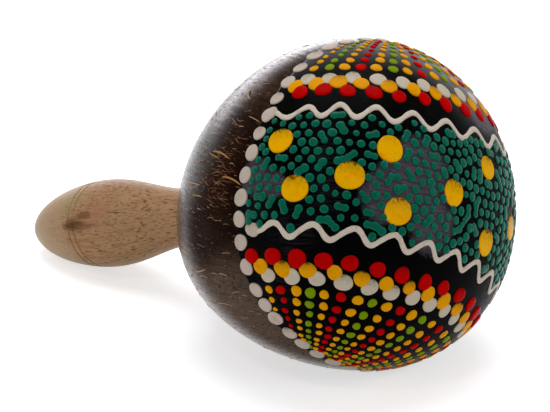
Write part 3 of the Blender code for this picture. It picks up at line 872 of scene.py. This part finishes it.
def make_rim_dots(paints):
    """Ivory drops in a ring just inside the paint's edge."""
    chance = np.random.default_rng(5)
    turns = RIM_DOT_START + 2.0 * pi / RIM_DOT_COUNT * np.arange(RIM_DOT_COUNT)
    for place, drift in RIM_DRIFTS:
        turns = turns + drift * np.exp(-((turns - place) / RIM_DRIFT_SPREAD)**2)
    turns = turns + chance.normal(0.0, 0.006, RIM_DOT_COUNT)
    height = pi / 2.0 - paint_edge(turns) + PAINT_OUTSIDE_DOTS
    centres = from_angles(RIM_AXIS, RIM_FRONT, RIM_SIDE, height, turns)
    sizes = RIM_DOT_RADIUS * (1.0 + 0.05 * chance.normal(size=RIM_DOT_COUNT))
    make_drops("rim_dots", centres, sizes, paints["rim"], 0.50 * MM, sides=24, rings=6, waver=0.04, seed=21,
               lip=0.28)


def make_rows(paints):
    """Rows of large drops on both sides of the band: ivory, yellow over it, and red on top."""
    chance = np.random.default_rng(7)
    for index, (colour, above, pace_above, below, pace_below, thickness) in enumerate(ROWS):
        found = []
        for latitude, pace in ((above, pace_above), (below, pace_below)):
            turn = paced(pace, np.arange(-2, 24)) + radians(0.3) * chance.normal(size=26)
            height = np.radians(latitude + chance.normal(0.0, 0.3, turn.shape))
            found.append(band_place(height, turn))
        centres = np.concatenate(found)
        centres = centres[inside_paint(centres, radians(3.5))]
        sizes = ROW_DOT_RADIUS * (1.0 + 0.05 * chance.normal(size=len(centres)))
        make_drops(f"row_dots_{colour}", centres, sizes, paints[colour], thickness, sides=24, rings=6,
                   waver=0.045, seed=30 + index, lip=0.2 if colour == "ivory" else 0.08)


def make_fans(paints):
    """Columns of small drops along great circles from the rows to a point where the columns meet. Steps
    shrink by a share from drop to drop, down to a least one, and sizes by a share of what they have
    above their least one, which is smaller in the first columns."""
    chance = np.random.default_rng(9)
    found = {}
    column = np.arange(FAN_COLUMNS)
    dot = np.arange(FAN_DOTS)
    young = np.clip(0.80 + 0.035 * column, 0.0, 1.05)[:, None]
    steps = np.maximum(FAN_STEP * FAN_SHRINK**dot * young, FAN_LEAST_STEP)
    passed = np.cumsum(steps, axis=1) - steps
    keeping = np.clip(0.58 + 0.02 * column, 0.0, 0.82)[:, None]
    radius = FAN_LEAST_RADIUS + (FAN_DOT_RADIUS - FAN_LEAST_RADIUS) * keeping**dot
    for latitude, pace, lean, roll, size, colours in FANS:
        first = band_place(np.full(FAN_COLUMNS, radians(latitude)), paced(pace, column))
        meeting = spun(radians(lean), radians(roll))
        whole = np.arccos(first @ meeting)
        heading = unit(meeting - first * (first @ meeting)[:, None])
        arc = passed + radians(0.15) * chance.normal(size=(FAN_COLUMNS, FAN_DOTS))
        places = first[:, None] * np.cos(arc)[..., None] + heading[:, None] * np.sin(arc)[..., None]
        sideways = np.cross(first, heading)[:, None] * radians(0.15) * chance.normal(size=arc.shape)[..., None]
        places = unit(places + sideways)
        first_columns = np.clip(0.80 + 0.08 * column, 0.0, 1.0)[:, None]
        sizes = size * radius * first_columns * (1.0 + 0.06 * chance.normal(size=arc.shape))
        keep = (arc < whole[:, None] - FAN_END) & inside_paint(places, radians(2.1))
        for index, colour in enumerate(colours):
            chosen = keep & (column % len(colours) == index)[:, None]
            found.setdefault(colour, []).append((places[chosen], sizes[chosen]))
    for index, (colour, parts) in enumerate(found.items()):
        centres = np.concatenate([part[0] for part in parts])
        sizes = np.concatenate([part[1] for part in parts])
        make_drops(f"fan_dots_{colour}", centres, sizes, paints[colour], 0.32 * MM, waver=0.07, seed=40 + index,
                   clean=True)


def wave_line(wave, steps):
    """A wave along the band, after a number of crests: a cosine about its latitude, whose crests lean
    over where its phase runs ahead, and shares of how sharply it bends. It is level before the crest
    that is one step back, and its first swings are smaller."""
    turn = 2.0 * pi * np.maximum(steps, -1.0)
    turn = turn + wave["lean"] * (1.0 - np.cos(turn))
    share = wave["least"] + (1.0 - wave["least"]) * eased(steps, wave["start"], wave["start"] + wave["growing"])
    swing = wave["swing"] * (share * np.cos(turn) - wave["sinking"] * (1.0 - share))
    height = np.radians(wave["latitude"] + swing)
    place = paced(wave["pace"], steps) + np.radians(wave["early"] * np.minimum(steps, 0.0))
    return band_place(height, place), np.cos(turn)**2


def make_waves(paints):
    """Ivory strokes along both edges of the band, wider at their bends, each begun with a drop."""
    chance = np.random.default_rng(13)
    ends = []
    for wave in WAVES:
        line, bend = wave_line(wave, np.linspace(wave["start"], 14.0, 1500))
        inside = inside_paint(line, radians(1.7))
        first = np.argmax(inside)
        last = first + np.argmin(inside[first:]) if not inside[first:].all() else len(line)
        line = line[first:last]
        ahead = unit(np.gradient(line, axis=0))
        across = np.cross(line, ahead)
        turns = np.linspace(0.0, 2.0 * pi, 12, endpoint=False)
        sideways = np.sign(np.cos(turns)) * np.abs(np.cos(turns))**0.8
        upwards = np.sign(np.sin(turns)) * np.abs(np.sin(turns))**0.6
        uneven = 0.05 * np.sin(0.13 * np.arange(len(line))) + 0.04 * np.sin(0.31 * np.arange(len(line)) + 1.0)
        width = WAVE_STROKE * (1.0 + 0.18 * bend[first:last] + uneven)
        directions = unit(line[:, None, :] + across[:, None, :]
                          * (width[:, None] * sideways[None, :])[..., None] / NUT_RADIUS)
        rings = on_nut(directions, PAINT_THICKNESS + 0.32 * MM * upwards[None, :])
        tube(wave["name"], rings, paints["wave"])
        ends.extend([line[2], line[12], line[-4]])
    sizes = 1.75 * MM * (1.0 + 0.1 * chance.normal(size=len(ends)))
    make_drops("wave_ends", np.array(ends), sizes, paints["rim"], 0.44 * MM, sides=20, rings=3, seed=51)


def make_discs(paints):
    """Large drops scattered along the band."""
    chance = np.random.default_rng(15)
    places = np.radians(np.array(DISCS))
    centres = band_place(places[:, 0], places[:, 1])
    centres = centres[inside_paint(centres, radians(5.0))]
    sizes = DISC_RADIUS * (1.0 + 0.04 * chance.normal(size=len(centres)))
    make_drops("large_discs", centres, sizes, paints["amber"], 0.40 * MM, sides=40, rings=8, waver=0.025, seed=52,
               lip=0.3)
    return centres


def spread_apart(dots, others, least, rounds=9):
    """Directions pushed away from each other and from others, each within its own least distance, a
    little in every round, so that they fill the place between evenly."""
    for _ in range(rounds):
        push = np.zeros(dots.shape)
        for crowd, distance in [(dots, BAND_DOT_SPACING)] + list(zip(others, least)):
            gap = dots[:, None] - crowd[None]
            apart = np.linalg.norm(gap, axis=-1)
            share = np.where(apart > 1e-9, np.clip(distance - apart, 0.0, None) / (apart + 1e-9), 0.0)
            push += 0.3 * (gap * share[..., None]).sum(axis=1)
        dots = unit(dots + np.clip(push, -0.012, 0.012))
    return dots


def make_band_dots(paints, discs):
    """Green drops that fill the band between the waves and round the discs: a jittered net of triangles,
    spread evenly. Some neighbours are drawn together, and a third drop joins them."""
    chance = np.random.default_rng(17)
    pitch = BAND_DOT_PITCH
    turn, height = np.meshgrid(np.arange(-92.0, 93.0, pitch), np.arange(-24.0, 24.5, pitch * 0.87))
    turn = turn + pitch / 2.0 * (np.arange(height.shape[0]) % 2)[:, None]
    turn = np.radians(turn + chance.normal(0.0, 0.95, turn.shape)).ravel()
    height = np.radians(height + chance.normal(0.0, 0.95, height.shape)).ravel()
    dots = band_place(height, turn)
    lines = []
    keep = inside_paint(dots, radians(2.9)) & ((dots @ discs.T).max(axis=1) < cos(radians(4.6)))
    for wave in WAVES:
        line, _ = wave_line(wave, np.linspace(-3.0, 14.0, 1700))
        line = line[inside_paint(line, radians(-6.0))]
        closest = line[np.argmax(dots @ line.T, axis=1)]
        inner = (closest @ BAND_AXIS - dots @ BAND_AXIS) * np.sign(wave["latitude"])
        keep &= (inner > 0.0) & ((closest * dots).sum(axis=1) < cos(radians(1.4)))
        lines.append(line[::12])
    turns = np.linspace(0.0, 2.0 * pi, 240, endpoint=False)
    rim = from_angles(RIM_AXIS, RIM_FRONT, RIM_SIDE, pi / 2.0 - paint_edge(turns) + PAINT_OUTSIDE_DOTS, turns)
    dots = spread_apart(dots[keep], [discs, rim] + lines, [radians(6.1), radians(4.0), radians(2.5), radians(2.5)])
    dots = dots[inside_paint(dots, radians(2.9))]
    apart = np.arccos(np.clip(dots @ dots.T, -1.0, 1.0)) + 9.0 * np.eye(len(dots))
    one = np.nonzero(chance.random(len(dots)) < 0.20)[0]
    other = np.argmin(apart[one], axis=1)
    drawn = 0.5 - radians(1.1) / apart[one, other]
    step = (dots[other] - dots[one]) * drawn[:, None]
    dots[one] = unit(dots[one] + step)
    dots[other] = unit(dots[other] - step)
    wider = 0.22 * eased(np.arctan2(dots @ BAND_SIDE, dots @ BAND_FRONT), radians(-50.0), radians(10.0))
    sizes = BAND_DOT_RADIUS * (1.0 + wider + 0.10 * chance.normal(size=len(dots)))
    centres = np.concatenate([dots, unit(dots[one] + dots[other])])
    sizes = np.concatenate([sizes, 0.9 * np.minimum(sizes[one], sizes[other])])
    make_drops("band_dots", centres, sizes, paints["green"], 0.48 * MM, rings=3, waver=0.06, seed=53, flatness=2.4)


# Husk left on the bare shell

def make_strands(name, material, middle, length, heading, bend, thickness, rows, sides):
    """Fine strands that lie on the nut, as one mesh.

    Each runs for its length through its middle (polar angle and roll), at a heading from the line to
    the stem, and swings off by its bend times the square of how far along it is. It is a tube whose
    thickness falls to nothing at both ends, as the square root of one less the fourth power.
    """
    count = len(length)
    share = np.linspace(-0.5, 0.5, rows)
    reach = length[:, None] / NUT_RADIUS * share
    swing = bend[:, None] * length[:, None] / NUT_RADIUS * (4.0 * share**2 - 0.5)
    polar = middle[0][:, None] + reach * np.cos(heading)[:, None] - swing * np.sin(heading)[:, None]
    sideways = reach * np.sin(heading)[:, None] + swing * np.cos(heading)[:, None]
    roll = middle[1][:, None] + sideways / np.sin(polar)
    line = np.stack([np.cos(polar), np.sin(polar) * np.sin(roll), -np.sin(polar) * np.cos(roll)], axis=-1)
    ahead = unit(np.gradient(line, axis=1))
    across = np.cross(line, ahead)
    turns = np.linspace(0.0, 2.0 * pi, sides, endpoint=False)
    thick = thickness[:, None] * np.sqrt(np.clip(1.0 - (2.0 * share)**4, 0.02, 1.0))
    directions = unit(line[:, :, None, :] + across[:, :, None, :]
                      * (thick[:, :, None] * np.cos(turns))[..., None] / NUT_RADIUS)
    points = on_nut(directions, thick[:, :, None] * (np.sin(turns) + 0.5) + husk_ridges(directions))
    quads = tube_faces(rows, sides)
    ends = np.array([np.arange(sides)[::-1], np.arange(sides) + (rows - 1) * sides])
    offsets = (np.arange(count) * rows * sides)[:, None, None]
    faces = (quads[None] + offsets).reshape(-1, 4).tolist() + (ends[None] + offsets).reshape(-1, sides).tolist()
    return add_piece(name, points, faces, material)


def make_placed_strands(name, material, strands):
    """Strands at their own places: polar angle, roll, millimetres, lean, curl and half thickness."""
    polar, roll, millimetres, lean, curl, thick = np.array(strands).T
    make_strands(name, material, (np.radians(polar), np.radians(roll)), millimetres * MM, np.radians(lean), curl,
                 thick * MM, rows=15, sides=8)


def make_husk(fibre, golden):
    """Short pale fibres all over the bare half, and longer strands round one fibrous place."""
    chance = np.random.default_rng(11)
    count = 300
    middle = (radians(86.0) + radians(66.0) * chance.random(count), 2.0 * pi * chance.random(count))
    length = (1.0 + 4.0 * chance.random(count)**2.0) * MM
    heading = radians(30.0) * np.sin(middle[1] + radians(75.0)) + chance.normal(0.0, 0.22, count)
    bend = chance.normal(0.0, 0.08, count)
    thickness = (0.07 + 0.07 * chance.random(count)**2) * MM
    directions = np.stack([np.cos(middle[0]), np.sin(middle[0]) * np.sin(middle[1]),
                           -np.sin(middle[0]) * np.cos(middle[1])], axis=-1)
    bare = outside_paint(directions) > radians(3.5)
    make_strands("husk_fibres", fibre, (middle[0][bare], middle[1][bare]), length[bare], heading[bare], bend[bare],
                 thickness[bare], rows=7, sides=5)
    red = plain_stuff("reddish husk fibre", tone(92, 50, 30), tone(62, 32, 20), 400.0, 0.4, 0.6)
    brown = plain_stuff("brown husk fibre", tone(128, 98, 70), tone(88, 62, 42), 400.0, 0.4, 0.6)
    for name, material, count, spread in (("reddish_strands", red, 60, 1.0), ("brown_strands", brown, 80, 1.3)):
        middle = (HUSK_POLAR + radians(7.0) * spread * chance.normal(size=count),
                  HUSK_ROLL + radians(6.0) * spread * chance.normal(size=count))
        length = (1.6 + 5.0 * chance.random(count)**1.5) * MM
        heading = chance.normal(-0.30, 0.22, count)
        bend = chance.normal(0.02, 0.09, count)
        thickness = (0.05 + 0.07 * chance.random(count)**2) * MM
        directions = np.stack([np.cos(middle[0]), np.sin(middle[0]) * np.sin(middle[1]),
                               -np.sin(middle[0]) * np.cos(middle[1])], axis=-1)
        bare = outside_paint(directions) > radians(4.5)
        make_strands(name, material, (middle[0][bare], middle[1][bare]), length[bare], heading[bare], bend[bare],
                     thickness[bare], rows=9, sides=5)
    make_placed_strands("golden_strands", golden, GOLDEN_STRANDS)
    make_placed_strands("pale_strands", fibre, PALE_STRANDS)


# Studio

def make_camera():
    """The photograph's view: 450 mm from the nut, looking down at it from the side of its dome."""
    data = bpy.data.cameras.new("camera")
    data.sensor_width = 36.0
    data.lens = 97.9
    camera = bpy.data.objects.new("camera", data)
    bpy.context.scene.collection.objects.link(camera)
    right = Vector((0.75971, 0.65026, 0.00096)).normalized()
    back = Vector((0.61953, -0.72426, 0.30270)).normalized()
    up = back.cross(right).normalized()
    right = up.cross(back)
    turn = Matrix((right, up, back)).transposed().to_4x4()
    camera.matrix_world = Matrix.Translation((0.30854, -0.33856, 0.18120)) @ turn
    bpy.context.scene.camera = camera


def add_lamp(name, place, width, height, power, colour=(1.0, 1.0, 1.0)):
    """A soft rectangular lamp that faces the nut."""
    data = bpy.data.lights.new(name, "AREA")
    data.shape = "RECTANGLE"
    data.size = width
    data.size_y = height
    data.energy = power
    data.color = colour
    lamp = bpy.data.objects.new(name, data)
    bpy.context.scene.collection.objects.link(lamp)
    lamp.location = place
    lamp.visible_camera = False
    lamp.rotation_euler = (Vector(place) - Vector((0.03, 0.0, 0.05))).to_track_quat("Z", "Y").to_euler()


def seen_share(tree):
    """1 for rays from the camera, from glossy surfaces and through glass, and 0 for light that falls."""
    path = add_node(tree, "ShaderNodeLightPath", {}).outputs
    either = reckon(tree, "MAXIMUM", path["Is Camera Ray"], path["Is Glossy Ray"])
    return reckon(tree, "MAXIMUM", either, path["Is Transmission Ray"])


def make_studio():
    """A white tent: soft lamps at the top and at both sides of the camera, and a white floor."""
    world = bpy.data.worlds.new("studio")
    bpy.context.scene.world = world
    world.use_nodes = True
    background = world.node_tree.nodes["Background"].inputs
    background["Color"].default_value = (1.0, 1.0, 1.0, 1.0)
    lit = add_node(world.node_tree, "ShaderNodeMapRange", {
        "Value": seen_share(world.node_tree), "To Min": WORLD_LIGHT, "To Max": 1.0})
    world.node_tree.links.new(lit.outputs["Result"], background["Strength"])
    add_lamp("tent_top", (-0.05, 0.10, 0.75), 0.6, 0.6, 4.4, (0.97, 0.96, 1.0))
    add_lamp("tent_left", (-0.32, -0.56, 0.12), 0.30, 0.16, 0.85, (0.99, 0.97, 1.0))
    add_lamp("tent_right", (0.66, 0.04, 0.30), 0.22, 0.28, 0.82, (0.97, 0.95, 1.0))
    add_lamp("tent_back", (-0.75, 0.55, 0.27), 0.70, 0.36, 1.75, (0.97, 0.92, 1.0))
    add_lamp("small_window", (0.16, -0.42, 0.52), 0.06, 0.06, 0.25, (0.97, 0.97, 1.0))

    mesh = bpy.data.meshes.new("floor")
    half = 3.0
    corners = [(-half, -half, 0.0), (half, -half, 0.0), (half, half, 0.0), (-half, half, 0.0)]
    mesh.from_pydata(corners, [], [(0, 1, 2, 3)])
    floor = bpy.data.objects.new("floor", mesh)
    bpy.context.scene.collection.objects.link(floor)
    material, tree, shader = new_material("white floor", 0.2)
    shader["Base Color"].default_value = (0.78, 0.78, 0.78, 1.0)
    shader["Roughness"].default_value = 0.8
    shader["Emission Color"].default_value = (1.0, 1.0, 1.0, 1.0)
    glow = add_node(tree, "ShaderNodeMapRange", {
        "Value": seen_share(tree), "To Min": FLOOR_UNDERGLOW, "To Max": FLOOR_GLOW})
    tree.links.new(glow.outputs["Result"], shader["Emission Strength"])
    mesh.materials.append(material)


def main():
    make_camera()
    make_studio()
    dirt = tone(38, 44, 18)
    paints = {
        "ivory": paint_material("ivory paint", tone(184, 173, 153), tone(170, 160, 136), tone(112, 102, 84), 0.3),
        "rim": paint_material("ivory rim paint", tone(182, 168, 154), tone(168, 153, 137), tone(112, 98, 82), 0.3),
        "wave": paint_material("ivory stroke paint", tone(196, 184, 168), tone(176, 163, 144), dirt, 0.0),
        "red": paint_material("red paint", tone(172, 2, 5), tone(150, 0, 3), tone(90, 6, 4), 0.2, 0.04),
        "yellow": paint_material("yellow paint", tone(212, 144, 6), tone(204, 130, 4), dirt, 0.5),
        "amber": paint_material("amber disc paint", tone(226, 166, 4), tone(230, 146, 4), dirt, 0.85),
        # The green drops carry a painted highlight ring and painted shade at their edges
        "green": paint_material("green paint", tone(0, 88, 66), tone(0, 102, 88), tone(0, 58, 44), 0.4, 0.15,
                                tone(16, 140, 120), tone(0, 40, 32), 0.2),
        "leaf": paint_material("leaf green paint", tone(108, 136, 14), tone(122, 130, 16), dirt, 0.0),
    }
    make_shell(shell_material())
    make_black_paint(black_material())
    make_handle(wood_material())
    make_rim_dots(paints)
    make_rows(paints)
    make_fans(paints)
    make_waves(paints)
    make_band_dots(paints, make_discs(paints))
    fibre = plain_stuff("dry husk fibre", tone(166, 132, 104), tone(126, 88, 60), 400.0, 0.4, 0.6)
    golden = plain_stuff("golden husk fibre", tone(146, 110, 58), tone(106, 76, 40), 400.0, 0.35, 0.55)
    make_husk(fibre, golden)
    glue = plain_stuff("set wood glue", tone(70, 46, 28), tone(48, 30, 18), 300.0, 0.3, 0.45)
    seed = plain_stuff("dry seed coat", tone(146, 108, 68), tone(108, 72, 42), 500.0, 0.35, 0.5)
    for name, node in frame["nodes"].items():
        if name == "glue_bead" or name.startswith("seed_"):
            node.data.materials.clear()
            node.data.materials.append(glue if name == "glue_bead" else seed)


main()
scene = bpy.context.scene
scene.view_settings.view_transform = "Standard"
